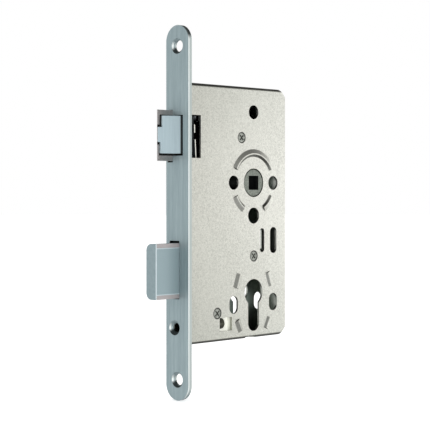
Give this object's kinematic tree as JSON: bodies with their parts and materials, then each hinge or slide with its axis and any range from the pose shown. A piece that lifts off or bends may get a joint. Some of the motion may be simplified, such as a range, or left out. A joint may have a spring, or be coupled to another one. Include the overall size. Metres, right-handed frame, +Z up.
{
  "type": "mortise lock",
  "caption": "Mortise lock: long round-ended forend, sheet-metal case, bevelled latch bolt, thrown deadbolt, square spindle follower and a profile-cylinder hole.",
  "frame": {"origin": "centre line of the forend's front face, at the height of the spindle", "axes": "+Z up along the forend; -Y out of the forend's front face, the way the bolts come out; +X across the door's thickness, towards the case's cover"},
  "size_m": [0.02, 0.1162, 0.235],
  "materials": {
    "satin_steel": "satin nickel-plated steel, brushed lengthways",
    "case_sheet": "galvanised sheet, fine grain",
    "bright_nickel": "bright nickel plate",
    "sintered_steel": "dark sintered steel",
    "zinc_steel": "zinc-plated steel",
    "cast_zinc": "dull cast zinc",
    "spring_steel": "bright spring wire",
    "nylon": "natural nylon"
  },
  "bodies": {
    "lock_case": {"forend": "satin_steel", "case_tray": "case_sheet", "case_cover": "case_sheet", "post_upper": "zinc_steel", "post_middle": "zinc_steel", "post_lower": "zinc_steel", "cover_screw_upper": "zinc_steel", "cover_screw_middle": "zinc_steel", "cover_screw_lower": "zinc_steel", "forend_rivet_upper": "zinc_steel", "forend_rivet_lower": "zinc_steel", "cylinder_screw_sleeve": "zinc_steel", "cylinder_screw_guide": "nylon", "latch_spring": "spring_steel", "latch_spring_seat": "zinc_steel", "follower_spring": "spring_steel", "follower_spring_seat": "zinc_steel", "tumbler_pivot": "zinc_steel", "tumbler_spring": "spring_steel", "tumbler_spring_pin": "zinc_steel"},
    "latch": {"latch_body": "sintered_steel", "latch_wedge": "bright_nickel", "latch_rivet": "zinc_steel"},
    "follower": {"follower": "cast_zinc"},
    "deadbolt": {"deadbolt_head": "bright_nickel", "deadbolt_tail": "zinc_steel", "deadbolt_rivet_upper": "zinc_steel", "deadbolt_rivet_lower": "zinc_steel"},
    "tumbler": {"tumbler": "zinc_steel", "tumbler_stump": "zinc_steel"}
  },
  "joints": [
    {"name": "follower_turn", "type": "hinge", "parent": "lock_case", "child": "follower", "pos_m": [0, 0.065, 0], "axis": [-1, 0, 0], "range_deg": [0, 40.1], "deforming": ["follower_spring"]},
    {"name": "latch_slide", "type": "slide", "parent": "lock_case", "child": "latch", "axis": [0, 1, 0], "range_m": [0, 0.013], "stiffness_N_per_m": 150, "springref_m": -0.03, "deforming": ["latch_spring"]},
    {"name": "deadbolt_throw", "type": "slide", "parent": "lock_case", "child": "deadbolt", "axis": [0, 1, 0], "range_m": [0, 0.02]},
    {"name": "tumbler_drop", "type": "hinge", "parent": "lock_case", "child": "tumbler", "pos_m": [0, 0.0365, -0.033], "axis": [-1, 0, 0], "range_deg": [0, 9.8], "stiffness_Nm_per_rad": 0.02, "springref_deg": 34.38, "deforming": ["tumbler_spring"]}
  ],
  "couplings": [
    {"joint": "follower_turn", "follows": "latch_slide", "rad_per_m": 53.703}
  ]
}
